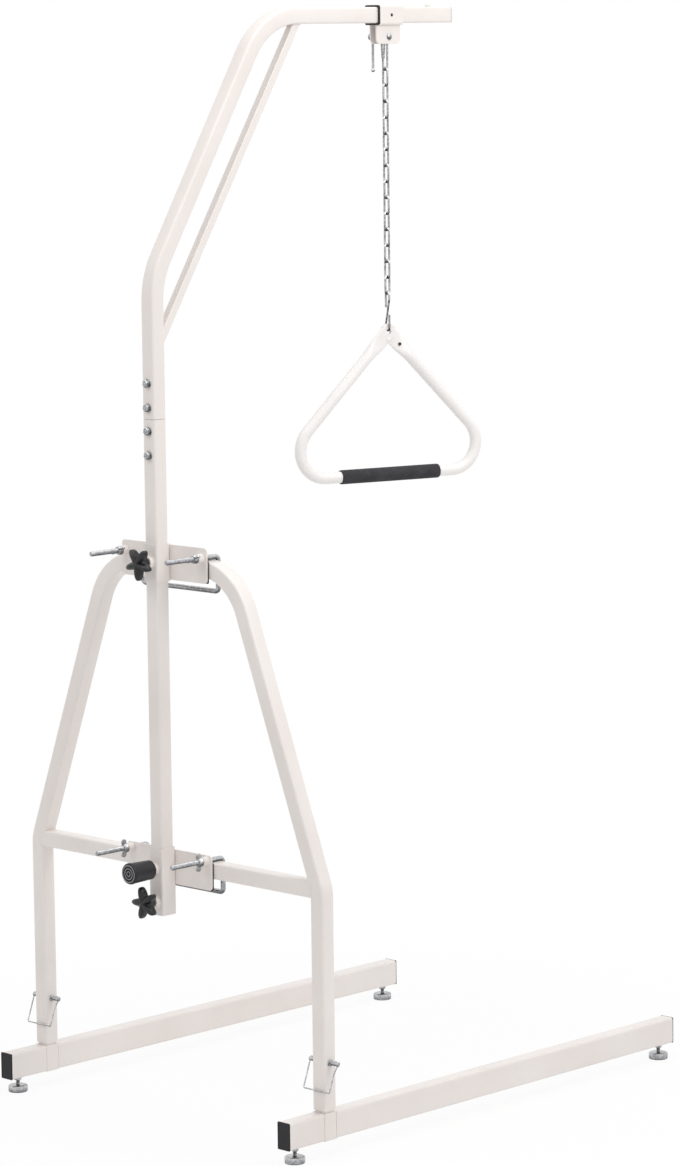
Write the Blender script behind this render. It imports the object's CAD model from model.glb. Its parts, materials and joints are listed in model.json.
# %% [markdown]
# # A bed trapeze, finished in Blender
# A bed trapeze is a steel frame that stands round the head of a bed. Two floor
# rails carry an A-frame, the A-frame carries a mast, and a chain on the mast's
# arm carries a hand grip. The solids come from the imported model, in metres.
# This lesson gives them their finishes, and builds again, with more facets,
# the pieces whose curves and threads show up close.

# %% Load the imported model
import json
from math import asin, atan2, copysign, cos, pi, radians, sin, tan

import bmesh
import bpy
from mathutils import Matrix, Vector


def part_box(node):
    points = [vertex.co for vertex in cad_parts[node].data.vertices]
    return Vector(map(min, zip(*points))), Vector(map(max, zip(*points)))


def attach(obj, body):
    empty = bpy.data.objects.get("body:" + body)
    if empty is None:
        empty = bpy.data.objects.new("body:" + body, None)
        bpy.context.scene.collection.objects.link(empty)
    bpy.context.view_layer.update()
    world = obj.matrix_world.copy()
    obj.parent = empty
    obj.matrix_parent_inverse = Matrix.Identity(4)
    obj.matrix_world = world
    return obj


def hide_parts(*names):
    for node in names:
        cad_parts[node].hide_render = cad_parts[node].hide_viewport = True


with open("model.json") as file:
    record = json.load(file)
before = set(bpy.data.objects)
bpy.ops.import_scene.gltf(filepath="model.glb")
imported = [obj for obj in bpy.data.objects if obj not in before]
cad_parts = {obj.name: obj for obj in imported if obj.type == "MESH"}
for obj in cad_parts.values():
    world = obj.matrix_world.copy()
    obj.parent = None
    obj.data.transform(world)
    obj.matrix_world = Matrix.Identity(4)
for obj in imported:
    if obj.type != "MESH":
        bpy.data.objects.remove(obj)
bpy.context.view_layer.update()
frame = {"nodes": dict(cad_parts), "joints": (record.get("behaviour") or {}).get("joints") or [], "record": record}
scene = bpy.context.scene
MM = 0.001

# %% [markdown]
# Shader maths reads best as plain arithmetic. The small class below wraps one
# socket, and each operator adds the Math node that it stands for. Every node is
# made by one function: it takes the sockets by name, then any settings.

# %% Write shader maths as arithmetic
class Wire:
    def __init__(self, tree, socket):
        self.tree = tree
        self.socket = socket

    def math(self, operation, first, second):
        return node(self.tree, "Math", {0: first, 1: second}, operation=operation)

    def __add__(self, other):
        return self.math("ADD", self, other)

    def __radd__(self, other):
        return self.math("ADD", other, self)

    def __sub__(self, other):
        return self.math("SUBTRACT", self, other)

    def __rsub__(self, other):
        return self.math("SUBTRACT", other, self)

    def __mul__(self, other):
        return self.math("MULTIPLY", self, other)

    def __rmul__(self, other):
        return self.math("MULTIPLY", other, self)


def node(tree, kind, inputs, output=0, **settings):
    made = tree.nodes.new(f"ShaderNode{kind}")
    for key, value in settings.items():
        setattr(made, key, value)
    for key, value in inputs.items():
        if isinstance(value, Wire):
            tree.links.new(value.socket, made.inputs[key])
        else:
            made.inputs[key].default_value = value
    if made.outputs:
        return Wire(tree, made.outputs[output])


# %% [markdown]
# Each finish starts from the same three things: where a point lies on the
# object, a soft noise at a chosen scale, and a Principled shader that takes
# the results. Scales are written as sizes in metres and turned over, because a
# texture node counts repeats in a metre.

# %% Make the finish helpers
MIX_SHARE, MIX_FIRST, MIX_SECOND, MIX_COLOUR = 0, 6, 7, 2


def start_finish(name):
    material = bpy.data.materials.new(name)
    material.use_nodes = True
    material.node_tree.nodes.clear()
    place = node(material.node_tree, "TexCoord", {}, output="Object")
    return material, material.node_tree, place


def noise(tree, place, grain, detail=2.0, roughness=0.5):
    inputs = {"Vector": place, "Scale": 1 / grain, "Detail": detail, "Roughness": roughness}
    return node(tree, "TexNoise", inputs)


def cells(tree, place, grain):
    inputs = {"Vector": place, "Scale": 1 / grain}
    return node(tree, "TexVoronoi", inputs, output="Distance", feature="F1")


def ramp(tree, value, stops):
    made = node(tree, "ValToRGB", {0: value})
    for element, (place, shade) in zip(made.socket.node.color_ramp.elements, stops):
        element.position = place
        element.color = (shade, shade, shade, 1)
    return made


def blend_colours(tree, share, first, second):
    inputs = {MIX_SHARE: share}
    for socket, colour in ((MIX_FIRST, first), (MIX_SECOND, second)):
        inputs[socket] = colour if isinstance(colour, Wire) else (*colour, 1)
    return node(tree, "Mix", inputs, output=MIX_COLOUR, data_type="RGBA")


def bump(tree, height, depth, strength):
    return node(tree, "Bump", {"Strength": strength, "Distance": depth, "Height": height})


def finish_with(tree, inputs):
    shader = node(tree, "BsdfPrincipled", inputs)
    node(tree, "OutputMaterial", {"Surface": shader})


# %% [markdown]
# The frame is powder coated. Powder flows into a skin with a fine orange peel,
# a few pin-head specks, and a tone that drifts a little along a tube. A warm
# off-white reads as cream in shade and as white where the lamp strikes it. The
# grip has the same coat, a little whiter and smoother.

# %% Powder coat
PAINT_LIGHT = (0.885, 0.832, 0.800)
PAINT_SHADE = (0.830, 0.768, 0.732)
PAINT_SPECK = (0.640, 0.590, 0.555)
PAINT_RELIEF = 0.12 * MM
GRIP_LIGHT = (0.930, 0.905, 0.890)
GRIP_SHADE = (0.885, 0.850, 0.830)
GRIP_RELIEF = 0.03 * MM
DRIFT_SIZE = 180 * MM
SPECK_SPACING = 19 * MM
SPECK_STRENGTH = 0.35
PEEL_SIZE = 2.6 * MM
GRAIN_SIZE = 0.7 * MM
SCUFF_SIZE = 35 * MM


def powder_coat(name, light, shade, relief_depth):
    material, tree, place = start_finish(name)
    drift = ramp(tree, noise(tree, place, DRIFT_SIZE, 3.0), [(0.35, 0.0), (0.68, 1.0)])
    tone = blend_colours(tree, drift, light, shade)
    specks = ramp(tree, cells(tree, place, SPECK_SPACING), [(0.0, 1.0), (0.045, 0.0)])
    speckled = blend_colours(tree, specks * SPECK_STRENGTH, tone, PAINT_SPECK)
    peel = noise(tree, place, PEEL_SIZE, 1.5)
    grain = noise(tree, place, GRAIN_SIZE)
    scuff = ramp(tree, noise(tree, place, SCUFF_SIZE, 6.0, 0.7), [(0.55, 0.0), (0.72, 1.0)])
    relief = bump(tree, peel * 0.8 + grain * 0.2, relief_depth, 0.30)
    finish_with(tree, {"Base Color": speckled, "Roughness": 0.30 + grain * 0.10 + scuff * 0.12,
                       "Normal": relief, "Coat Weight": 0.18, "Coat Roughness": 0.22})
    return material


paint = powder_coat("powder_coat", PAINT_LIGHT, PAINT_SHADE, PAINT_RELIEF)
grip_paint = powder_coat("grip_coat", GRIP_LIGHT, GRIP_SHADE, GRIP_RELIEF)
print("paint nodes:", len(paint.node_tree.nodes))

# %% [markdown]
# The screws, pins, chain and feet are bright zinc plated. Plating over drawn
# wire keeps faint lines, and its crystals change the tone in patches of about a
# millimetre. Undersides are duller, where damp air sits and no hand rubs, so
# the tone also follows how far a face looks down.

# %% Zinc plate
ZINC_LIGHT = (0.640, 0.648, 0.665)
ZINC_SHADE = (0.130, 0.132, 0.140)
ZINC_GLOSS = 0.24
WIRE_LIGHT = (0.760, 0.765, 0.780)
WIRE_SHADE = (0.030, 0.031, 0.035)
WIRE_GLOSS = 0.18
CRYSTAL_SIZE = 1.6 * MM
TARNISH_SIZE = 6 * MM
DRAWN_LINE_SIZE = 0.5 * MM
ZINC_RELIEF = 0.06 * MM


def zinc_plate(name, light, shade, gloss):
    material, tree, place = start_finish(name)
    crystals = cells(tree, place, CRYSTAL_SIZE)
    clouds = noise(tree, place, TARNISH_SIZE, 3.0, 0.6)
    share = ramp(tree, crystals * 0.3 + clouds * 0.8, [(0.42, 0.0), (0.66, 1.0)])
    lines = noise(tree, place, DRAWN_LINE_SIZE)
    facing = node(tree, "TexCoord", {}, output="Normal")
    upward = node(tree, "SeparateXYZ", {0: facing}, output="Z")
    dull = ramp(tree, 0.5 - upward * 0.5, [(0.40, 0.0), (0.74, 1.0)])
    tone = blend_colours(tree, share * 0.45 + dull * 0.85, light, shade)
    relief = bump(tree, lines * 0.5 + crystals, ZINC_RELIEF, 0.6)
    finish_with(tree, {"Base Color": tone, "Metallic": 1.0, "Roughness": gloss + clouds * 0.16,
                       "Normal": relief})
    return material


zinc = zinc_plate("zinc_plate", ZINC_LIGHT, ZINC_SHADE, ZINC_GLOSS)
wire_zinc = zinc_plate("chain_wire", WIRE_LIGHT, WIRE_SHADE, WIRE_GLOSS)
print("zinc nodes:", len(zinc.node_tree.nodes))

# %% [markdown]
# Three black finishes are easy to tell apart by touch: the foam rubber of the
# grip has open pores, the moulded rubber of the cap and plugs has a dull bloom,
# and the knobs are glass-filled plastic with a spark-eroded grain. The plug of
# the arm is a pale plastic. Each is a cloud between two tones over a relief.

# %% Rubber and plastics
FOAM_CLOUD = 20 * MM
PORE_SIZE = 1.2 * MM
FOAM_RELIEF = 0.35 * MM
MOULDED = dict(cloud=(8 * MM, 5.0, 0.65), grain=(noise, 0.6 * MM), relief=0.06 * MM,
               strength=0.5, gloss=0.36, sway=0.22, specular=0.35)
KNOB = dict(cloud=(12 * MM, 3.0), grain=(cells, 0.8 * MM), relief=0.05 * MM,
            strength=0.4, gloss=0.27, sway=0.12, specular=0.45)
PALE = dict(cloud=(6 * MM, 3.0), grain=(noise, 6 * MM, 3.0), relief=0.05 * MM,
            strength=0.5, gloss=0.42, sway=0.10, specular=0.50)


def foam_rubber(name, dark, light):
    material, tree, place = start_finish(name)
    cloud = noise(tree, place, FOAM_CLOUD, 3.0)
    worn = ramp(tree, cloud, [(0.42, 0.0), (0.70, 1.0)])
    pores = ramp(tree, cells(tree, place, PORE_SIZE), [(0.05, 0.0), (0.45, 1.0)])
    finish_with(tree, {"Base Color": blend_colours(tree, worn, dark, light),
                       "Roughness": 0.72 + cloud * 0.16, "Specular IOR Level": 0.35,
                       "Normal": bump(tree, pores, FOAM_RELIEF, 0.9)})
    return material


def clouded(name, first, second, look):
    material, tree, place = start_finish(name)
    cloud = noise(tree, place, *look["cloud"])
    texture, *grain = look["grain"]
    relief = bump(tree, texture(tree, place, *grain), look["relief"], look["strength"])
    finish_with(tree, {"Base Color": blend_colours(tree, cloud, first, second),
                       "Roughness": look["gloss"] + cloud * look["sway"],
                       "Specular IOR Level": look["specular"], "Normal": relief})
    return material


foam = foam_rubber("foam_rubber", (0.034, 0.033, 0.038), (0.052, 0.051, 0.056))
rubber = clouded("moulded_rubber", (0.010, 0.010, 0.013), (0.026, 0.025, 0.030), MOULDED)
rubbed = clouded("rubbed_rubber", (0.260, 0.260, 0.280), (0.340, 0.340, 0.365), MOULDED)
plug_black = clouded("plug_black", (0.004, 0.004, 0.006), (0.014, 0.013, 0.017), MOULDED)
plastic = clouded("knob_plastic", (0.005, 0.005, 0.007), (0.014, 0.014, 0.017), KNOB)
pale = clouded("pale_plastic", (0.72, 0.69, 0.65), (0.66, 0.63, 0.59), PALE)
FINISHES_OF_SLOT = {"frame_paint": [paint, grip_paint], "zinc_plate": [zinc, wire_zinc],
                    "black_rubber": [rubber, rubbed, plug_black, foam],
                    "black_plastic": [plastic], "light_plastic": [pale]}

# %% [markdown]
# The solids that already have their true shape only need their finish and a
# softened edge. A small Bevel modifier rounds each cut edge, as tumbling and
# powder do on real tube ends, and leaves the vertices of the solid alone.

# %% Dress the solids
EDGE_ROUND = 0.35 * MM
SEAM_ROUND = 1.3 * MM
PLATE_ROUND = 0.8 * MM
ROUND_OF_NODE = {"lower_mast": SEAM_ROUND, "upper_bracket": PLATE_ROUND,
                 "lower_bracket": PLATE_ROUND}
slot_of_node = {part["node"]: part["material_slot"] for part in frame["record"]["subparts"]}


def set_finish(piece, material):
    piece.data.materials.clear()
    piece.data.materials.append(material)


def soften_edges(piece, width, least_angle):
    edge = piece.modifiers.new("edge", "BEVEL")
    edge.width = width
    edge.segments = 2
    edge.limit_method = "ANGLE"
    edge.angle_limit = radians(least_angle)


for name, solid in frame["nodes"].items():
    set_finish(solid, FINISHES_OF_SLOT[slot_of_node[name]][0])
    soften_edges(solid, ROUND_OF_NODE.get(name, EDGE_ROUND), 50)
print("dressed:", len(frame["nodes"]))

# %% [markdown]
# Nearly every detail here is a section carried along a line: square tube, round
# bar, wire. So the lesson needs one function for the line, with its straight
# lengths and round bends, the sections, and one that skins rings of points. A
# section that changes along the line is a function of what a station adds.

# %% Carry a section along a line
def bent_line(corners, radii, steps=12):
    corners = [Vector(corner) for corner in corners]
    headings = [(b - a).normalized() for a, b in zip(corners, corners[1:])]
    stations = [(corners[0], headings[0])]
    for corner, arriving, leaving, radius in zip(corners[1:], headings, headings[1:], radii):
        turn = arriving.angle(leaving)
        start = corner - arriving * radius * tan(turn / 2)
        inward = (leaving - arriving * cos(turn)).normalized()
        for step in range(steps + 1):
            angle = turn * step / steps
            ahead = arriving * radius * sin(angle)
            place = start + ahead + inward * radius * (1 - cos(angle))
            stations.append((place, arriving * cos(angle) + inward * sin(angle)))
    stations.append((corners[-1], headings[-1]))
    return stations


def carried(stations, section, side):
    rings = []
    side = Vector(side)
    for place, heading, *size in stations:
        side = (side - heading * side.dot(heading)).normalized()
        other = heading.cross(side)
        outline = section(*size) if size else section
        rings.append([place + side * a + other * b for a, b in outline])
    return rings


def round_section(radius, sides):
    turns = [2 * pi * i / sides for i in range(sides)]
    return [(radius * cos(turn), radius * sin(turn)) for turn in turns]


def box_section(width, height, corner, steps=4):
    points = []
    for quarter, (sx, sy) in enumerate(((1, 1), (-1, 1), (-1, -1), (1, -1))):
        for step in range(steps + 1):
            angle = pi / 2 * (quarter + step / steps)
            points.append((sx * (width / 2 - corner) + corner * cos(angle),
                           sy * (height / 2 - corner) + corner * sin(angle)))
    return points


# %% Skin rings of points
def skin(mesh, rings, closed=False):
    rows = [[mesh.verts.new(point) for point in ring] for ring in rings]
    pairs = list(zip(rows, rows[1:]))
    if closed:
        pairs.append((rows[-1], rows[0]))
    for low, high in pairs:
        for i in range(len(low)):
            j = (i + 1) % len(low)
            mesh.faces.new((low[i], low[j], high[j], high[i]))
    if not closed:
        mesh.faces.new(rows[0][::-1])
        mesh.faces.new(rows[-1])


def into_scene(name, data):
    made = bpy.data.objects.new(name, data)
    scene.collection.objects.link(made)
    return made


def object_from(name, fill):
    mesh = bmesh.new()
    fill(mesh)
    bmesh.ops.recalc_face_normals(mesh, faces=mesh.faces)
    data = bpy.data.meshes.new(name)
    mesh.to_mesh(data)
    mesh.free()
    return into_scene(name, data)


def make_piece(name, fill, body, material, smooth_angle=40, bevel=0.0, replaces=None):
    piece = object_from(name, fill)
    piece.data.shade_smooth()
    piece.data.set_sharp_from_angle(angle=radians(smooth_angle))
    set_finish(piece, material)
    if bevel:
        soften_edges(piece, bevel, smooth_angle)
    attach(piece, body)
    if replaces:
        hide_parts(replaces)
    return piece


def line_piece(name, line, section, side, body, material, replaces):
    rings = carried(line, section, side)
    make_piece(name, lambda mesh: skin(mesh, rings), body, material, replaces=replaces)


# %% [markdown]
# Sizes and places are read back from the solids. A piece's middle and its
# joint's place are asked for so often that each gets a function.

# %% Read places from the solids
SIDES = {"left": -1, "right": 1}
BRACKETS = ("upper", "lower")


def middle_of(name):
    low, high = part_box(name)
    return (low + high) / 2


def joint_of(child):
    return Vector(next(joint for joint in frame["joints"] if joint["child"] == child)["pos_m"])


print("hanger at:", [round(v, 3) for v in middle_of("hanger_sleeve")])

# %% [markdown]
# The A-frame is one length of 30 mm square tube, bent four times. A real bend
# on a draw bender is a true arc, so the arc is what the section follows. The
# overall sizes are read back from the solid, and only the bends are named.

# %% The A-frame tube
TUBE = 30 * MM
TUBE_CORNER = 4 * MM
KNEE_BEND = 60 * MM
SHOULDER = 162 * MM
SHOULDER_BEND = 115 * MM

hoop_low, hoop_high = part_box("a_frame_hoop")
frame_y = (hoop_low.y + hoop_high.y) / 2
half_track = hoop_high.x - TUBE / 2
knee_height = middle_of("crossbar").z
leg_corners = [(-half_track, frame_y, hoop_low.z), (-half_track, frame_y, knee_height),
               (-SHOULDER, frame_y, hoop_high.z - TUBE / 2)]
hoop_corners = leg_corners + [(-x, y, z) for x, y, z in reversed(leg_corners)]
hoop_line = bent_line(hoop_corners, [KNEE_BEND, SHOULDER_BEND, SHOULDER_BEND, KNEE_BEND])
tube_section = box_section(TUBE, TUBE, TUBE_CORNER)
line_piece("a_frame_tube", hoop_line, tube_section, (0, 1, 0), "frame", paint, "a_frame_hoop")
print("A-frame stations:", len(hoop_line))

# %% [markdown]
# The upper mast leans over the bed: two bends turn it from upright to level.
# Its far end is plugged and its joint with the lower mast is a butt seam, so a
# closed skin looks right from every side. Both edges of the seam are rounded,
# the lower mast's by its Bevel modifier and this one's by a smaller first ring.

# %% The cranked arm
LOW_BEND_RISE = 251.7 * MM
LOW_BEND = 150 * MM
ARM_OUTSET = 283.7 * MM
HIGH_BEND = 140 * MM

arm_low, arm_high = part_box("upper_mast_arm")
mast_y = arm_low.y + TUBE / 2
arm_height = arm_high.z - TUBE / 2
UP = Vector((0, 0, 1))
arm_corners = [(0, mast_y, arm_low.z), (0, mast_y, arm_low.z + LOW_BEND_RISE),
               (0, mast_y + ARM_OUTSET, arm_height), (0, arm_high.y, arm_height)]
arm_line = bent_line(arm_corners, [LOW_BEND, HIGH_BEND])


def cranked_arm(mesh):
    seam = Vector((0, mast_y, arm_low.z))
    lip_side = TUBE - 2 * SEAM_ROUND
    lip = box_section(lip_side, lip_side, TUBE_CORNER - SEAM_ROUND)
    line = [(seam + UP * SEAM_ROUND, UP)] + arm_line[1:]
    skin(mesh, carried([(seam, UP)], lip, (1, 0, 0)) + carried(line, tube_section, (1, 0, 0)))


make_piece("cranked_arm", cranked_arm, "mast", paint, replaces="upper_mast_arm")
print("arm stations:", len(arm_line))

# %% [markdown]
# Turned parts come from a profile, pairs of a radius and a height, and a fixed
# one is a table in millimetres. A screw thread is a ridge that climbs by one
# pitch for each turn. Rings do it without sweeping a helix: at every point the
# radius depends on the height and the angle, so the ridges lean as real ones do.

# %% Turn a profile and cut a thread
THREAD_PITCH = 1.25 * MM
THREAD_DEPTH = 0.72 * MM
THREAD_SIDES = 14
ROWS_A_TURN = 4
LEAST_RADIUS = 0.01 * MM
HEX_FACE = 0.86
HEX_CHAMFER = 0.12


def threaded(mesh, start, direction, length, radius, pitch=THREAD_PITCH):
    direction = Vector(direction).normalized()
    side = direction.orthogonal().normalized()
    other = direction.cross(side)
    rows = max(2, round(length / pitch * ROWS_A_TURN))
    rings = []
    for row in range(rows + 1):
        height = length * row / rows
        taper = min(1.0, height / pitch, (length - height) / pitch)
        ring = []
        for i, (a, b) in enumerate(round_section(1, THREAD_SIDES)):
            phase = (height / pitch - i / THREAD_SIDES) % 1.0
            ridge = 1 - abs(2 * phase - 1)
            outward = (side * a + other * b) * (radius - THREAD_DEPTH * (1 - ridge * taper))
            ring.append(Vector(start) + direction * height + outward)
        rings.append(ring)
    skin(mesh, rings)


def turned(mesh, profile, origin, axis, sides=40, around=None):
    axis = Vector(axis).normalized()
    stations = [(Vector(origin) + axis * height, axis, radius) for radius, height in profile]
    skin(mesh, carried(stations, lambda radius: round_section(max(radius, LEAST_RADIUS), sides),
                       around or axis.orthogonal()))


def profile_mm(points, start=0.0):
    return [(radius * MM, start + height * MM) for radius, height in points]


def mirrored(profile, length):
    return profile + [(radius, length - height) for radius, height in reversed(profile)]


def turned_piece(name, profile, origin, axis, body, material, sides=40, **looks):
    make_piece(name, lambda mesh: turned(mesh, profile, origin, axis, sides),
               body, material, **looks)


def hex_nut(mesh, centre, axis, corner, depth, side):
    profile = mirrored([(HEX_FACE * corner, 0), (corner, HEX_CHAMFER * depth)], depth)
    turned(mesh, profile, centre, axis, sides=6, around=side)


# %% [markdown]
# Each bracket is pulled against the A-frame by one bent rod. It passes through
# the plate, goes over the bar, drops behind it and comes back, so a single rod
# gives two threaded ends with a wing nut on each.

# %% Clamp rods
SOLID_ROD = 4 * MM
ROD = 4.7 * MM
TAIL_MORE = 12 * MM
ROD_BEND = 8 * MM
ROD_SPREAD = 99 * MM
THREADED_LENGTH = 68 * MM


def clamp_rod(label):
    low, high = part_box(f"{label}_clamp_rod")
    top = high.z - SOLID_ROD
    bottom = low.z + SOLID_ROD
    behind = high.y - SOLID_ROD
    tail = low.y - TAIL_MORE
    half = [(tail + THREADED_LENGTH, top), (behind, top), (behind, bottom)]
    corners = [(-ROD_SPREAD, y, z) for y, z in half] + [(ROD_SPREAD, y, z) for y, z in half[::-1]]
    line = bent_line(corners, [ROD_BEND] * 4, steps=8)

    def fill(mesh):
        skin(mesh, carried(line, round_section(ROD, 18), UP))
        for x in (-ROD_SPREAD, ROD_SPREAD):
            threaded(mesh, (x, tail, top), (0, 1, 0), THREADED_LENGTH + 1 * MM, ROD)

    make_piece(f"{label}_bent_rod", fill, "frame", zinc, replaces=f"{label}_clamp_rod")
    return top


rod_heights = {label: clamp_rod(label) for label in BRACKETS}
print("rod heights:", {label: round(z, 4) for label, z in rod_heights.items()})

# %% [markdown]
# A wing nut is cast: a cone of a hub with two ears that lean out and thicken
# towards rounded tips. The ear is an outline given some depth, and its edges
# are beveled widely so that it looks cast and not cut.

# %% Wing nuts
NUT_HUB = profile_mm([(7.7, 0), (8.5, 0.8), (7.2, 8.2), (6.4, 9), (4.9, 8.8)])
EAR_ROOTS = profile_mm([(5.8, 0.6), (5.8, 8.6)])
EAR_REACH = 17 * MM
EAR_TIP = 5.5 * MM
EAR_LIFT = 12 * MM
EAR_DEPTH = 3 * MM
EAR_ARC = 225
EAR_STEPS = 12
NUT_SET = {"upper": radians(25), "lower": radians(90)}


def ear_outline(direction):
    points = [EAR_ROOTS[0]]
    for step in range(EAR_STEPS + 1):
        angle = radians(-90 + EAR_ARC * step / EAR_STEPS)
        points.append((EAR_REACH - EAR_TIP + EAR_TIP * cos(angle),
                       EAR_LIFT - EAR_TIP + EAR_TIP * sin(angle)))
    points.append(EAR_ROOTS[1])
    return [(direction * x, y) for x, y in points]


def wing_nut(name, setting):
    base = middle_of(name)
    base.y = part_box(name)[1].y
    spread = Vector((cos(setting), 0, sin(setting)))
    flat = Vector((-spread.z, 0, spread.x))

    def fill(mesh):
        turned(mesh, NUT_HUB, base, (0, -1, 0), sides=28)
        for direction in (-1, 1):
            ear = [base + spread * x - Vector((0, y, 0)) for x, y in ear_outline(direction)]
            skin(mesh, [[point + flat * depth for point in ear]
                        for depth in (-EAR_DEPTH / 2, EAR_DEPTH / 2)])

    make_piece(f"{name}_cast", fill, name, zinc, bevel=0.7 * MM, replaces=name)


for label in BRACKETS:
    for hand in SIDES:
        wing_nut(f"{label}_{hand}_wing_nut", NUT_SET[label])
print("wing nuts:", len(BRACKETS) * len(SIDES))

# %% [markdown]
# The star knobs are moulded. Five points run from a round middle, and a soft
# wave in polar form draws all of them at once. The head is built up in layers
# from the back to the dished front. Each layer is a scaled copy of the same
# outline, and sinks between the points by its own depth.

# %% Star knobs
KNOB_RADIUS = 30.5 * MM
KNOB_WAIST = 14.5 * MM
KNOB_SINK = 4.5 * MM
KNOB_DEPTH = 17 * MM
KNOB_POINTS = 5
KNOB_STEPS = 100
POINT_SHARPNESS = 1.5
SINK_SHARPNESS = 0.6
KNOB_HUB = profile_mm([(12, 0), (11, 2), (10.4, 10.2), (9.6, 11)])
HUB_DEPTH = 11 * MM
SCREW_RADIUS = 4 * MM
KNOB_SET = {"upper": radians(-90), "lower": radians(180)}


def star_wave(angle):
    return (1 + cos(KNOB_POINTS * angle)) / 2


def star_radius(angle):
    return KNOB_WAIST + (KNOB_RADIUS - KNOB_WAIST) * star_wave(angle) ** POINT_SHARPNESS


def star_knob(label):
    name = f"{label}_star_knob"
    low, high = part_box(name)
    axis = joint_of(name)
    front = low.y
    back = front + KNOB_DEPTH

    def star_ring(y, scale, sink):
        ring = []
        for i in range(KNOB_STEPS):
            angle = 2 * pi * i / KNOB_STEPS
            r = star_radius(angle) * scale
            aim = angle + KNOB_SET[label]
            hollow = sink * (1 - star_wave(angle) ** SINK_SHARPNESS)
            ring.append(Vector((axis.x + r * cos(aim), y + hollow,
                                axis.z + r * sin(aim))))
        return ring

    def head(mesh):
        layers = [(back, 0.55, 0), (back, 0.9, 0), (back - 1.2 * MM, 0.97, 0),
                  (back - 3 * MM, 1, 0), (front + 7 * MM, 1, 0),
                  (front + 4.5 * MM, 0.96, 0.5 * KNOB_SINK),
                  (front + 2.6 * MM, 0.86, KNOB_SINK), (front + 1.2 * MM, 0.72, KNOB_SINK),
                  (front + 0.3 * MM, 0.55, 0.8 * KNOB_SINK), (front, 0.36, 0.4 * KNOB_SINK),
                  (front, 0.16, 0)]
        skin(mesh, [star_ring(*layer) for layer in layers])
        turned(mesh, KNOB_HUB, (axis.x, back - 0.5 * MM, axis.z), (0, 1, 0))

    def screw(mesh):
        start = back + HUB_DEPTH - 1 * MM
        threaded(mesh, (axis.x, start, axis.z), (0, 1, 0), high.y - start, SCREW_RADIUS)

    make_piece(f"{name}_head", head, name, plastic, replaces=name)
    make_piece(f"{name}_screw", screw, name, zinc)


for label in BRACKETS:
    star_knob(label)
print("knob radius, mm:", round(KNOB_RADIUS / MM, 1))

# %% [markdown]
# The bumper cap is a rubber ferrule pushed on a short tube. Its face has the
# round grooves that stop it slipping against a wall, and a rolled rim. A turned
# profile is enough, with each groove as four points. Where the lands between
# the grooves touch a wall they are rubbed paler, and thin rings stand for that.

# %% Bumper cap
CAP_BACK = profile_mm([(12, 0), (16.5, 0), (17.5, 1), (17.7, 5)])
CAP_LIP = [(18.9, -9), (19.5, -6), (19.5, -3), (18.7, -1), (17.1, 0)]
GROOVE = 0.9 * MM
GROOVE_FOOT = 0.3 * MM
GROOVE_DEPTH = 1.3 * MM
GROOVE_RADII = [12.5 * MM, 7.1 * MM, 2.0 * MM]
RUBBED = 0.9 * MM
RUBBED_RADII = [4.4 * MM, 9.8 * MM, 15.2 * MM]

cap_low, cap_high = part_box("bumper_cap")
cap_middle = middle_of("bumper_cap")
face = cap_high.y - cap_low.y - RUBBED
cap = CAP_BACK + profile_mm(CAP_LIP, face)
for radius in GROOVE_RADII:
    cap += [(radius + GROOVE, face), (radius + GROOVE_FOOT, face - GROOVE_DEPTH),
            (radius - GROOVE_FOOT, face - GROOVE_DEPTH), (radius - GROOVE, face)]
cap.append((0.0, face))


def rubbed_rings(mesh):
    centre = Vector((cap_middle.x, cap_low.y + RUBBED, cap_middle.z))
    for radius in RUBBED_RADII:
        rings = []
        for x, z in round_section(1, 40):
            outward = Vector((x, 0, z))
            rings.append([centre + outward * (radius + a) + Vector((0, b, 0))
                          for a, b in round_section(RUBBED, 8)])
        skin(mesh, rings, closed=True)


turned_piece("bumper_ferrule", cap, (cap_middle.x, cap_high.y, cap_middle.z), (0, -1, 0), "frame",
             rubber, sides=48, smooth_angle=30, replaces="bumper_cap")
make_piece("bumper_rubbed_rings", rubbed_rings, "frame", rubbed, smooth_angle=80)
print("cap length, mm:", round((cap_high.y - cap_low.y) / MM, 1))

# %% [markdown]
# The rails are closed by push-in plugs. What shows is a thin black cap with
# tighter corners than the tube, so its edge stands a hair proud of the steel.

# %% Rail plugs
PLUG_CORNER = 2.2 * MM
PLUG_LEAST_CORNER = 0.4 * MM
PLUG_STEPS = [(0, 2.4 * MM), (0, 0.7 * MM), (0.7 * MM, 0), (2.4 * MM, 0), (2.8 * MM, 0.4 * MM)]


def rail_plug(name):
    low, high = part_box(name)
    outward = -1 if low.y < 0 else 1
    face = low.y if outward < 0 else high.y
    middle = middle_of(name)

    def fill(mesh):
        rings = []
        for inset, depth in PLUG_STEPS:
            corner = max(PLUG_LEAST_CORNER, PLUG_CORNER - inset)
            outline = box_section(high.x - low.x - 2 * inset, high.z - low.z - 2 * inset, corner)
            y = face - outward * depth
            rings.append([Vector((middle.x + a, y, middle.z + b)) for a, b in outline])
        skin(mesh, rings)

    make_piece(f"{name}_cap", fill, "frame", plug_black, smooth_angle=30, replaces=name)


RAIL_ENDS = [f"{side}_{end}" for side in SIDES for end in ("heel", "front")]
for rail_end in RAIL_ENDS:
    rail_plug(f"{rail_end}_plug")
print("plugs:", len(RAIL_ENDS))

# %% [markdown]
# A levelling foot has a turned pad, a stud with a machine thread and a thin
# lock nut run up under the rail. Pad, stud and nut turn as one, so they make
# one piece for each foot.

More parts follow.
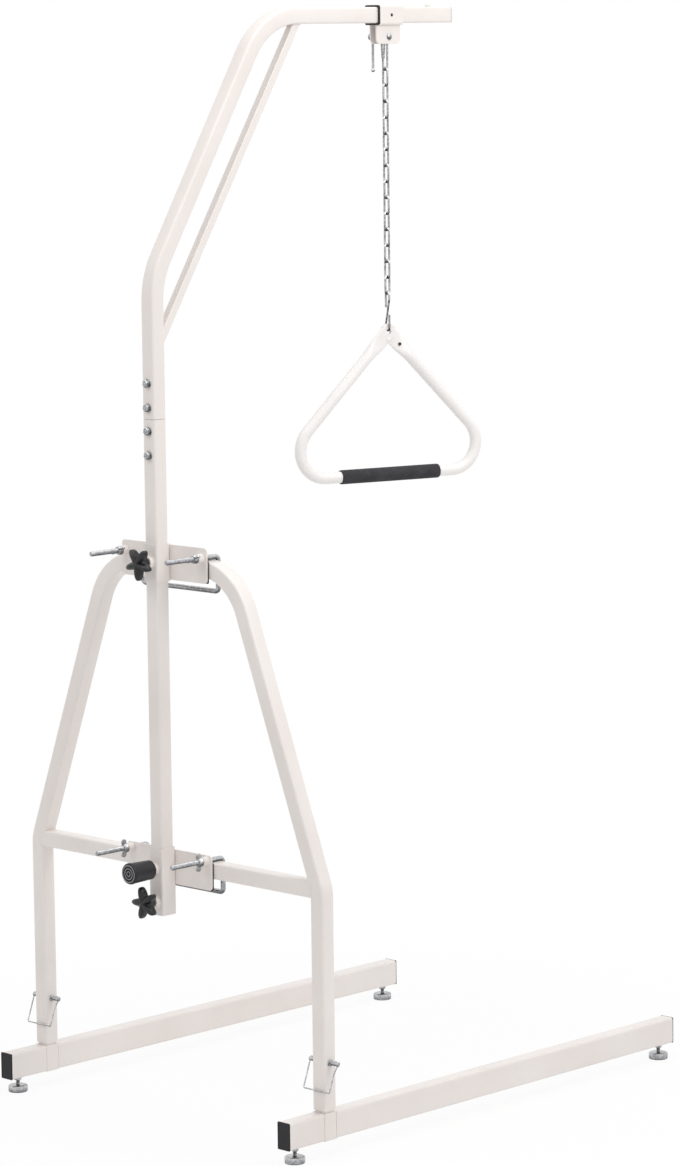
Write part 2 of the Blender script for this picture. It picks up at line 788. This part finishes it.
# %% Levelling feet
FOOT_PAD = profile_mm([(16.3, 0), (17.7, 0.4), (18.3, 1.6), (18.3, 10.6), (17.7, 11.8),
                       (15.9, 12.6), (14.3, 13), (7.2, 13), (0, 13)])
PAD_HEIGHT = 13 * MM
STUD = 4 * MM
LOCK_NUT = 7.2 * MM
LOCK_NUT_DEPTH = 5.8 * MM
LOCK_NUT_BELOW = 6.2 * MM
RAIL_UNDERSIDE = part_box("left_base_rail")[0].z


def levelling_foot(name):
    centre = middle_of(name)
    centre.z = 0
    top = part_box(name)[1].z

    def fill(mesh):
        turned(mesh, FOOT_PAD, centre, UP, sides=48)
        threaded(mesh, centre + UP * (PAD_HEIGHT - 1 * MM), UP, top - PAD_HEIGHT, STUD)
        nut_base = centre + UP * (RAIL_UNDERSIDE - LOCK_NUT_BELOW)
        hex_nut(mesh, nut_base, UP, LOCK_NUT, LOCK_NUT_DEPTH, (1, 0, 0))

    make_piece(f"{name}_turned", fill, name, zinc, smooth_angle=35, replaces=name)


for rail_end in RAIL_ENDS:
    levelling_foot(f"{rail_end}_foot")
print("rail underside, mm:", round(RAIL_UNDERSIDE / MM, 1))

# %% [markdown]
# Four bolts clamp the two mast lengths over an inner tube. On the wall's side
# each shows a flat washer, a nut and two or three turns of thread, and on the
# bed's side a low round head.

# %% Mast bolts
BOLT = 3 * MM
BOLT_PITCH = 1.0 * MM
MAST_WASHER = profile_mm([(8.4, 0), (8.4, 1.3), (3.2, 1.4)])
WASHER_TOP = 1.4 * MM
MAST_NUT = 7.2 * MM
MAST_NUT_DEPTH = 6.0 * MM
BOLT_HEAD = profile_mm([(0, 3.4), (2.6, 3.2), (4.6, 2.2), (5.5, 0.6), (5.4, 0)])
PAINT_CLEAR = 0.3 * MM


def mast_bolt(name):
    low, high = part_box(name)
    centre = Vector((0, 0, middle_of(name).z))
    near = centre + Vector((0, mast_y - TUBE / 2 - PAINT_CLEAR, 0))
    far = centre + Vector((0, mast_y + TUBE / 2 + PAINT_CLEAR, 0))

    def fill(mesh):
        turned(mesh, MAST_WASHER, near, (0, -1, 0), sides=32)
        nut_base = near - Vector((0, WASHER_TOP, 0))
        hex_nut(mesh, nut_base, (0, -1, 0), MAST_NUT, MAST_NUT_DEPTH, (1, 0, 0.35))
        shank = high.y - low.y - 2 * MM
        threaded(mesh, centre + Vector((0, low.y, 0)), (0, 1, 0), shank, BOLT, BOLT_PITCH)
        turned(mesh, BOLT_HEAD, far, (0, 1, 0), sides=32)

    make_piece(f"{name}_set", fill, "mast", zinc, smooth_angle=35, replaces=name)


for count in range(1, 5):
    mast_bolt(f"mast_bolt_{count}")
print("bolt shank, mm:", round(2 * BOLT / MM, 1))

# %% [markdown]
# A closed link is wire round two crowns. The line goes once round both, and a
# ring of points is placed at every step, square to the line. Links alternate
# between two planes at right angles, each crown resting in the last. The pear
# link and the spare link have two crowns of different width.

# %% Chain links
WIRE = 2 * MM
CROWN = 5.5 * MM
PITCH = 30 * MM
PEAR_CROWN = 6.5 * MM
SPARE_WIRE = 1.5 * MM
SPARE_CROWN = 5.8 * MM
SPARE_FOOT = 2.5 * MM
SPARE_MORE = 6 * MM
CROWN_STEPS = 14


def wire_loop(mesh, centre, wire, top, bottom, span, across):
    across = Vector(across)
    through = across.cross(UP)
    section = round_section(wire, 14)
    tilt = asin((top - bottom) / span)
    rings = []
    for start, reach, radius, drop in ((-tilt, pi + 2 * tilt, top, 0.0),
                                       (pi + tilt, pi - 2 * tilt, bottom, span)):
        for step in range(CROWN_STEPS + 1):
            angle = start + reach * step / CROWN_STEPS
            outward = across * cos(angle) + UP * sin(angle)
            middle = centre + outward * radius - UP * drop
            rings.append([middle + outward * a + through * b for a, b in section])
    skin(mesh, rings, closed=True)


def chain_pair(name):
    low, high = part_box(name)
    first = middle_of(name)
    second = first.copy()
    span = PITCH + 2 * WIRE - 2 * CROWN
    first.z = high.z - WIRE - CROWN
    second.z = low.z + WIRE + CROWN + span

    def fill(mesh):
        wire_loop(mesh, first, WIRE, CROWN, CROWN, span, (1, 0, 0))
        wire_loop(mesh, second, WIRE, CROWN, CROWN, span, (0, 1, 0))

    make_piece(f"{name}_links", fill, name, wire_zinc, replaces=name)


def hanging_link(name, wire, top, bottom, longer):
    low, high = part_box(name)
    centre = middle_of(name)
    centre.z = high.z - wire - top
    span = centre.z - (low.z - longer + wire + bottom)

    def fill(mesh):
        wire_loop(mesh, centre, wire, top, bottom, span, (0, 1, 0))

    make_piece(f"{name}_wire", fill, name, wire_zinc, replaces=name)


for count in range(1, 8):
    chain_pair(f"chain_pair_{count}")
hanging_link("pear_link", WIRE, PEAR_CROWN, CROWN, 0.0)
hanging_link("spare_link", SPARE_WIRE, SPARE_CROWN, SPARE_FOOT, SPARE_MORE)
print("pitch, mm:", round(PITCH / MM, 1))

# %% [markdown]
# The hanger is a sleeve on the arm with a bent plate under it. The plate's two
# cheeks are broad with rounded lower corners, and they cover the narrow tongues
# of the solid. A dark lug of the sliding liner shows through each side.

# %% Hanger cheeks and lugs
CHEEK_WIDTH = {"left": 56 * MM, "right": 64 * MM}
CHEEK_SHIFT = -2 * MM
CHEEK_CORNER = 10 * MM
CHEEK_BELOW = 13.4 * MM
CHEEK_SKIN = 0.25 * MM
CHEEK_LAP = 0.5 * MM
CORNER_STEPS = 8
TONGUE_INNER = 8 * MM
TONGUE_THICK = 2.5 * MM
LUG = profile_mm([(3.2, -1), (3.2, 0.1), (1.92, 0.4)])

sleeve_low, sleeve_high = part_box("hanger_sleeve")
sleeve_side = sleeve_high.x - sleeve_low.x
hang_y = (sleeve_low.y + sleeve_high.y) / 2


def hanger_cheek(mesh, hand, side):
    half = CHEEK_WIDTH[hand] / 2
    top = sleeve_high.z - sleeve_side + CHEEK_LAP
    foot = joint_of("clamp_screw").z - CHEEK_BELOW
    outline = [(-half, top)]
    for centre_y, start in ((-half + CHEEK_CORNER, 180), (half - CHEEK_CORNER, 270)):
        for step in range(CORNER_STEPS + 1):
            angle = radians(start + 90 * step / CORNER_STEPS)
            outline.append((centre_y + CHEEK_CORNER * cos(angle),
                            foot + CHEEK_CORNER * (1 + sin(angle))))
    outline.append((half, top))
    faces = (TONGUE_INNER - CHEEK_SKIN, TONGUE_INNER + TONGUE_THICK + CHEEK_SKIN)
    skin(mesh, [[Vector((side * x, hang_y + CHEEK_SHIFT + y, z)) for y, z in outline]
                for x in faces])


for hand, side in SIDES.items():
    make_piece(f"hanger_cheek_{hand}", lambda mesh: hanger_cheek(mesh, hand, side),
               "hanger", paint, bevel=0.5 * MM)
    lug_place = (side * sleeve_high.x, hang_y, sleeve_high.z - sleeve_side / 2)
    turned_piece(f"liner_lug_{hand}", LUG, lug_place, (side, 0, 0), "hanger", plastic, sides=24)
print("sleeve side, mm:", round(sleeve_side / MM, 1))

# %% [markdown]
# The tommy bar slides through the eye of the clamp screw. Each end is peened to
# a small ball, so that it can't drop out.

# %% Tommy bar
TOMMY_RADIUS = 2.4 * MM
TOMMY_BALL = 3.6 * MM
TOMMY_MORE = 9 * MM
BALL_SHARES = [(0.35, 0.05), (0.75, 0.3), (1.0, 0.75), (1.0, 1.15), (0.75, 1.6)]

tommy_low, tommy_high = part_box("tommy_bar")
tommy_foot = middle_of("tommy_bar")
tommy_foot.z = tommy_low.z - TOMMY_MORE
ball = [(TOMMY_BALL * share, TOMMY_BALL * rise) for share, rise in BALL_SHARES]
tommy = mirrored(ball + [(TOMMY_RADIUS, 2 * TOMMY_BALL)], tommy_high.z - tommy_foot.z)
turned_piece("tommy_bar_peened", tommy, tommy_foot, UP, "tommy_bar", zinc, sides=24,
             replaces="tommy_bar")
print("tommy bar, mm:", round((tommy_high.z - tommy_foot.z) / MM, 1))

# %% [markdown]
# The hand grip is a round tube bent to a triangle. Its ends are pressed flat,
# lapped and drilled for the hook. One number, how round the tube is at each
# station, blends the flat section into the round one.

# %% Hand grip tube
GRIP_TUBE = 11 * MM
GRIP_SLOPE = radians(44.1)
GRIP_CORNER = 53 * MM
GRIP_YAW = radians(73)
GRIP_SIDES = 28
LAP_WIDTH = 15 * MM
LAP_THICK = 3.4 * MM
LAP_FLAT = 20 * MM
LAP_BLEND = 52 * MM
LAP_GAP = 0.3 * MM
TIP_STEPS = 9
LAP_STEPS = 14
HOOK_HOLE = 5.5 * MM
RIVET_DROP = 15 * MM

APEX = middle_of("handle_rivet").z + RIVET_DROP
BAR = middle_of("hand_grip").z
along = Vector((cos(GRIP_YAW), sin(GRIP_YAW), 0))
normal = UP.cross(along)
apex = Vector((0, hang_y, APEX))


def roundness(distance):
    share = min(1.0, max(0.0, (distance - LAP_FLAT) / LAP_BLEND))
    return share * share * (3 - 2 * share)


def half_depth(share):
    return LAP_THICK / 2 + (GRIP_TUBE - LAP_THICK / 2) * share


def lap_shift(share):
    return (1 - share) * (LAP_THICK + LAP_GAP) / 2


def half_stations():
    drop = APEX - BAR
    foot = drop * tan(GRIP_SLOPE)
    line = bent_line([(0, 0, 0), (-foot, 0, -drop), (0, 0, -drop)], [GRIP_CORNER], steps=18)
    down = line[0][1]
    stations = []
    for step in range(TIP_STEPS):
        angle = pi / 2 * (1 - (step + 0.25) / TIP_STEPS)
        past = LAP_WIDTH * sin(angle)
        stations.append((down * -past, down, -past, LAP_WIDTH * cos(angle)))
    for step in range(LAP_STEPS + 1):
        distance = LAP_FLAT + LAP_BLEND * step / LAP_STEPS
        stations.append((down * distance, down, distance, LAP_WIDTH))
    for place, heading in line[1:-1]:
        stations.append((place, heading, 1.0, LAP_WIDTH))
    return stations


def grip_ring(place, heading, distance, width, lap_side):
    share = roundness(distance)
    across = width + (GRIP_TUBE - width) * share
    through = half_depth(share)
    offset = lap_side * lap_shift(share)
    power = 0.5 + 0.5 * share
    sideways = heading.cross(Vector((0, 1, 0))).normalized()
    ring = []
    for cosine, sine in round_section(1, GRIP_SIDES):
        c = copysign(abs(cosine) ** power, cosine)
        s = copysign(abs(sine) ** power, sine)
        local = place + sideways * across * c + Vector((0, offset + through * s, 0))
        ring.append(apex + along * local.x + normal * local.y + UP * local.z)
    return ring


def grip_tube(mesh):
    half = half_stations()
    rings = [grip_ring(*station, -1) for station in half]
    for place, heading, distance, width in reversed(half):
        flipped = Vector((-place.x, place.y, place.z))
        rising = Vector((heading.x, -heading.y, -heading.z))
        rings.append(grip_ring(flipped, rising, distance, width, 1))
    skin(mesh, rings)


grip_piece = make_piece("bent_grip_tube", grip_tube, "handle", grip_paint, replaces="grip_handle")

# %% [markdown]
# The hook needs its hole. A Boolean modifier cuts it, and the result is written
# back to the mesh at once, so that no cutter stays in the scene.

# %% Drill the hook hole
def drill(piece, centre, axis, radius, length):
    profile = [(radius, -length / 2), (radius, length / 2)]
    cutter = object_from("cutter", lambda mesh: turned(mesh, profile, centre, axis, sides=32))
    cut = piece.modifiers.new("hole", "BOOLEAN")
    cut.object = cutter
    cut.operation = "DIFFERENCE"
    cut.solver = "EXACT"
    bpy.context.view_layer.update()
    shown = piece.evaluated_get(bpy.context.evaluated_depsgraph_get())
    drilled = bpy.data.meshes.new_from_object(shown)
    piece.modifiers.remove(cut)
    piece.data = drilled
    bpy.data.objects.remove(cutter)


drill(grip_piece, apex, normal, HOOK_HOLE, 3 * LAP_WIDTH)
print("grip faces:", len(grip_piece.data.polygons))

# %% [markdown]
# One rivet holds the lapped ends. It is peened nearly flush and then coated
# with the tube, so it is only a low dome in the paint. A small black plug
# closes the vent that lets the hot gas of the coating oven out of the tube.

# %% Grip rivet and vent plug
RIVET_DOME = profile_mm([(4.4, 0), (3.74, 0.5), (2.2, 0.9), (0.66, 1.0)],
                        LAP_THICK + 1.5 * LAP_GAP)
VENT_PLUG = profile_mm([(2.9, -2), (2.9, 0.1), (1.74, 0.4)])
VENT_DROP = 34 * MM

leg = along * sin(GRIP_SLOPE) - UP * cos(GRIP_SLOPE)
vent_share = roundness(VENT_DROP)
vent_face = half_depth(vent_share) + lap_shift(vent_share)
turned_piece("grip_vent_plug", VENT_PLUG, apex + leg * VENT_DROP - normal * vent_face, -normal,
             "handle", plastic, sides=24)
rivet = [(radius, -height) for radius, height in reversed(RIVET_DOME)] + RIVET_DOME
turned_piece("grip_rivet_coated", rivet, apex - UP * RIVET_DROP, normal, "handle", grip_paint,
             sides=28, smooth_angle=60, replaces="handle_rivet")
print("vent plug below the hook, mm:", round(VENT_DROP / MM, 1))

# %% [markdown]
# The hand bar is covered by a push-on foam sleeve. Turned rings give it the
# shallow ribs and the pressed-in ends that such a sleeve has.

# %% Foam sleeve
SLEEVE_RADIUS = 13.5 * MM
SLEEVE_LENGTH = 212 * MM
SLEEVE_MOUTH = profile_mm([(11.1, 0), (11.9, 0), (13.1, 0.6)])
RIB = 0.22 * MM
RIB_PITCH = 3.2 * MM
END_MARGIN = 2 * MM

ribbed = list(SLEEVE_MOUTH)
for rib in range(round((SLEEVE_LENGTH - 2 * END_MARGIN) / RIB_PITCH)):
    height = END_MARGIN + RIB_PITCH * rib
    ribbed += [(SLEEVE_RADIUS, height), (SLEEVE_RADIUS, height + 0.62 * RIB_PITCH),
               (SLEEVE_RADIUS - RIB, height + 0.81 * RIB_PITCH)]
ribbed += [(radius, SLEEVE_LENGTH - height) for radius, height in reversed(SLEEVE_MOUTH)]
sleeve_end = apex - UP * (APEX - BAR) - along * SLEEVE_LENGTH / 2
turned_piece("foam_grip_sleeve", ribbed, sleeve_end, along, "handle", foam, smooth_angle=60,
             replaces="hand_grip")
print("sleeve length, mm:", round(SLEEVE_LENGTH / MM, 1))

# %% [markdown]
# The S-hook is one length of wire: a crown in the last chain link, a slanted
# shank, and a crown through the lapped ends of the grip.

# %% S-hook
HOOK_CROWN = 6.5 * MM
HOOK_BEND = 0.98 * HOOK_CROWN
HOOK_TIP = 30 * MM
HOOK_TURN = 14 * MM

hook_low, hook_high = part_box("s_hook")
top = hook_high.z - WIRE
bottom = hook_low.z + WIRE
r = HOOK_CROWN
flat_points = [(-r, top - HOOK_TIP), (-r, top), (r, top), (r, top - HOOK_TURN),
               (-r, bottom + HOOK_TURN), (-r, bottom), (r, bottom), (r, bottom + HOOK_TIP)]
hook_corners = [Vector((0, hang_y, z)) - normal * x for x, z in flat_points]
hook_line = bent_line(hook_corners, [HOOK_BEND] * 6, steps=10)
line_piece("s_hook_wire", hook_line, round_section(WIRE, 14), along, "s_hook", wire_zinc, "s_hook")
print("hook length, mm:", round((top - bottom) / MM, 1))

# %% [markdown]
# A lock pin goes through each leg. It is turned bar with a collar that stops it
# at the tube and a waisted end. Its bail is spring wire: one end hooks into the
# far tip, the bar snaps over the leg's face, and the near arm runs out past the
# tip and turns back into it, like a hairpin.

# %% Lock pins
PIN_RADIUS = 4 * MM
PIN_START = [(2.6, 0), (4, 1.4)]
PIN_COLLAR = [(4, 0), (6.2, 0), (6.2, 2.2), (3.2, 3.0), (3.2, 4.6), (4, 5.4)]
PIN_HEAD = [(4, -3.2), (4.6, -2.6), (4.6, -0.8), (3.4, 0)]


def lock_pin(name):
    centre = middle_of(name)
    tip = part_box(name)[1].x - centre.x
    profile = (profile_mm(PIN_START, -tip) + profile_mm(PIN_COLLAR, TUBE / 2)
               + profile_mm(PIN_HEAD, tip))
    turned_piece(f"{name}_turned", profile, centre, (1, 0, 0), "frame", zinc, sides=32,
                 smooth_angle=30, replaces=name)


# %% Pin bails
BAIL_WIRE = 1.3 * MM
BAIL_FAR = 34 * MM
BAIL_NEAR = 30 * MM
BAIL_RADII = [2 * MM, 3 * MM, 3 * MM, 6 * MM, 2.5 * MM, 2 * MM]
HAIRPIN_OUT = 4.8 * MM
HAIRPIN_SHARE = 0.36


def pin_bail(name):
    middle_x = middle_of(name).x
    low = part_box(name)[0]
    hinge = joint_of(name)
    pin = Vector((0, hinge.y, hinge.z))
    bar = Vector((0, low.y + BAIL_WIRE, low.z + BAIL_WIRE))
    far = Vector((middle_x - BAIL_FAR, 0, 0))
    near = Vector((middle_x + BAIL_NEAR, 0, 0))
    out = Vector((HAIRPIN_OUT, 0, 0))
    waist = bar.lerp(pin, 1 - HAIRPIN_SHARE)
    above = pin + (pin - bar).normalized() * PIN_RADIUS
    corners = [far + above + out, far + above, far + bar, near + bar, near + waist,
               near + pin + out, near + above + out * 0.3, near + above - out * 0.5]
    line = bent_line(corners, BAIL_RADII, steps=6)
    line_piece(f"{name}_wire", line, round_section(BAIL_WIRE, 12), (0.1, 1, 0.2), name,
               wire_zinc, name)


for make, part in ((lock_pin, "lock_pin"), (pin_bail, "pin_bail")):
    for hand in SIDES:
        make(f"{hand}_{part}")
print("pin height, mm:", round(joint_of("left_pin_bail").z / MM, 1))

# %% [markdown]
# Welds are what make the frame look built. A bead is a thin run of metal with a
# ripple for each pass of the torch, and here it lies under the powder coat, so
# it takes the paint. Every bead is a closed or open line with a rippled radius.

# %% Weld beads
BEAD = 1.3 * MM
POST_BEAD = 1.2 * MM
BOSS_BEAD = 1.1 * MM
BUSH_BEAD = 1.0 * MM
RIPPLE = 2.1 * MM
RIPPLE_SWELL = 0.16
DRIFT_SWELL = 0.10
DRIFT_LENGTH = 4.3 * MM


def weld_bead(name, points, body, closed=True, radius=BEAD):
    points = [Vector(point) for point in points]
    if closed:
        points.append(points[0])
    stations = []
    travelled = 0.0
    for a, b in zip(points, points[1:]):
        length = (b - a).length
        heading = (b - a).normalized()
        steps = max(1, round(length / (RIPPLE / 4)))
        for step in range(steps):
            share = step / steps
            stations.append((a.lerp(b, share), heading, travelled + length * share))
        travelled += length
    if not closed:
        stations.append((points[-1], heading, travelled))

    def rippled(distance):
        ripple = RIPPLE_SWELL * sin(2 * pi * distance / RIPPLE)
        drift = DRIFT_SWELL * sin(distance / DRIFT_LENGTH)
        return round_section(radius * (1 + ripple + drift), 8)

    rings = carried(stations, rippled, stations[0][1].orthogonal())
    make_piece(name, lambda mesh: skin(mesh, rings, closed), body, paint, smooth_angle=80)


def ring_bead(name, centre, bead_radius, radius=BEAD):
    points = [Vector(centre) + Vector((x, 0, z)) for x, z in round_section(bead_radius, 36)]
    weld_bead(name, points, "frame", radius=radius)


# %% Welds on the brackets
PAD_GAP = 0.3 * MM
PLATE_THICK = 2.5 * MM
PLATE_HEIGHT = 64 * MM
SLEEVE_HALF = 17.55 * MM
BUSH_RADIUS = 8.5 * MM
BOSS_RADIUS = 12 * MM
STUB_RADIUS = 11 * MM

for label in BRACKETS:
    pad_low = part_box(f"{label}_bracket_pad")[0]
    front = pad_low.y - PAD_GAP - PLATE_THICK
    for hand, side in SIDES.items():
        run = [(side * SLEEVE_HALF, front, pad_low.z + 1 * MM),
               (side * SLEEVE_HALF, front, pad_low.z + PLATE_HEIGHT - 1 * MM)]
        weld_bead(f"{label}_sleeve_weld_{hand}", run, "frame", closed=False)
        bush = (side * ROD_SPREAD, front, rod_heights[label])
        ring_bead(f"{label}_bush_weld_{hand}", bush, BUSH_RADIUS, BUSH_BEAD)
    boss = (0, mast_y - SLEEVE_HALF, joint_of(f"{label}_star_knob").z)
    ring_bead(f"{label}_boss_weld", boss, BOSS_RADIUS, BOSS_BEAD)

ring_bead("bumper_weld", (0, mast_y - SLEEVE_HALF, cap_middle.z), STUB_RADIUS)

# %% Welds on the rails, crossbar and brace
RAIL_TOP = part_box("left_front_plug")[1].z
BRACE_HALF = 8 * MM

for hand, side in SIDES.items():
    outer = side * (half_track + TUBE / 2)
    inner = side * (half_track - TUBE / 2)
    foot = RAIL_UNDERSIDE + 3 * MM
    crown = RAIL_TOP - 2 * MM
    for seam, seam_y in (("heel", frame_y - TUBE / 2), ("front", frame_y + TUBE / 2)):
        run = [(outer, seam_y, foot), (outer, seam_y, crown), (inner, seam_y, crown),
               (inner, seam_y, foot)]
        weld_bead(f"{hand}_{seam}_post_weld", run, "frame", closed=False, radius=POST_BEAD)

corners = ((-1, -1), (1, -1), (1, 1), (-1, 1))
half = TUBE / 2 - 0.6 * MM
for hand, side in SIDES.items():
    x = side * (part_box("crossbar")[1].x - 0.4 * MM)
    run = [(x, frame_y + a * half, knee_height + b * half) for a, b in corners]
    weld_bead(f"crossbar_weld_{hand}", run, "frame", radius=POST_BEAD)

brace_low, brace_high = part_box("arm_brace")
lean = atan2(brace_high.y - brace_low.y, brace_high.z - brace_low.z)
foot_cut = BRACE_HALF / sin(lean)
top_cut = BRACE_HALF / cos(lean)
foot_z = brace_low.z + foot_cut
top_y = brace_high.y - top_cut
top_z = arm_height - TUBE / 2
weld_bead("brace_foot_weld",
          [(a * BRACE_HALF, brace_low.y, foot_z + b * foot_cut) for a, b in corners], "mast")
weld_bead("brace_top_weld",
          [(a * BRACE_HALF, top_y + b * top_cut, top_z) for a, b in corners], "mast")

# %% [markdown]
# The stage is a plain pale floor that runs out of sight. For the camera and for
# reflections part of it is a plain white glow, so it reads as white paper, and
# the rest is a matt surface that keeps the soft shadow under the rails. The
# world is white to the same rays, and plain studio light to the rest.

# %% Floor and world
FLOOR_HALF = 14.0
FLOOR_TONE = (0.90, 0.90, 0.90, 1)
GLOW_SHARE = 0.90
GLOW_NEAR = 0.4
GLOW_FAR = 1.5
LIGHT_LEVEL = 0.60
WHITE = (1, 1, 1, 1)


def seen_rays(tree):
    camera, glossy, clear = [node(tree, "LightPath", {}, output=f"Is {kind} Ray")
                             for kind in ("Camera", "Glossy", "Transmission")]
    either = camera.math("MAXIMUM", camera, glossy)
    return either.math("MAXIMUM", either, clear)


def paper_floor():
    material, tree, place = start_finish("paper_floor")
    matt = node(tree, "BsdfDiffuse", {"Color": FLOOR_TONE})
    glow = node(tree, "Emission", {"Color": WHITE, "Strength": 1.0})
    reach = node(tree, "VectorMath", {0: place}, output="Value", operation="LENGTH")
    fade = node(tree, "MapRange", {"Value": reach, "From Min": GLOW_NEAR, "From Max": GLOW_FAR,
                                   "To Min": GLOW_SHARE, "To Max": 1.0},
                interpolation_type="SMOOTHSTEP")
    mixed = node(tree, "MixShader", {0: seen_rays(tree) * fade, 1: matt, 2: glow})
    node(tree, "OutputMaterial", {"Surface": mixed})
    return material


def floor_fill(mesh):
    mesh.faces.new([mesh.verts.new((x * FLOOR_HALF, y * FLOOR_HALF, 0)) for x, y in corners])


floor = object_from("floor", floor_fill)
set_finish(floor, paper_floor())

world = bpy.data.worlds.new("studio")
scene.world = world
world.use_nodes = True
sky = world.node_tree
sky.nodes.clear()
lit, seen = [node(sky, "Background", {"Color": WHITE, "Strength": level})
             for level in (LIGHT_LEVEL, 1.0)]
both = node(sky, "MixShader", {0: seen_rays(sky), 1: lit, 2: seen})
node(sky, "OutputWorld", {"Surface": both})
print("light level:", LIGHT_LEVEL)

# %% [markdown]
# One wide lamp stands to the right of the camera, because the narrow right-hand
# faces of the tubes are the bright ones. A weaker lamp from the left keeps the
# near faces from going grey, and an overhead one models the bends.

# %% Studio lamps
AIM = Vector((0.0, 0.0, 1.0))
LAMPS = {"key_lamp": ((2.2, 0.2, 2.8), 1.6, 26), "fill_lamp": ((-0.3, -2.2, 3.0), 1.4, 13),
         "top_lamp": ((0.4, 0.6, 5.0), 3.0, 50)}


def soft_lamp(name, place, size, watts):
    data = bpy.data.lights.new(name, "AREA")
    data.shape = "RECTANGLE"
    data.size = size
    data.size_y = size
    data.energy = watts
    lamp = into_scene(name, data)
    lamp.location = place
    lamp.rotation_mode = "QUATERNION"
    lamp.rotation_quaternion = (AIM - Vector(place)).to_track_quat("-Z", "Y")


for name, lamp in LAMPS.items():
    soft_lamp(name, *lamp)
print("lamps:", len(LAMPS))

# %% [markdown]
# The camera stands where the photographer stood. A long lens from nearly eight
# metres keeps the tubes nearly parallel, and the picture has a slight roll.

# %% Camera
CAMERA_PLACE = Vector((5.3421, -5.4187, 1.9721))
CAMERA_YAW = radians(44.496)
CAMERA_PITCH = radians(7.658)
CAMERA_ROLL = radians(-0.680)
CAMERA_REACH = 100
FOCAL_PIXELS = 4084
PICTURE_HEIGHT = 1166
SENSOR = 36.0

camera_data = bpy.data.cameras.new("camera")
camera_data.sensor_fit = "AUTO"
camera_data.sensor_width = SENSOR
camera_data.lens = FOCAL_PIXELS / PICTURE_HEIGHT * SENSOR
camera_data.clip_end = CAMERA_REACH
camera = into_scene("camera", camera_data)
camera.matrix_world = (Matrix.Translation(CAMERA_PLACE) @ Matrix.Rotation(CAMERA_YAW, 4, "Z")
                       @ Matrix.Rotation(pi / 2 - CAMERA_PITCH, 4, "X")
                       @ Matrix.Rotation(CAMERA_ROLL, 4, "Z"))
scene.camera = camera
scene.view_settings.view_transform = "Standard"
print("lens:", round(camera_data.lens, 1), "mm")
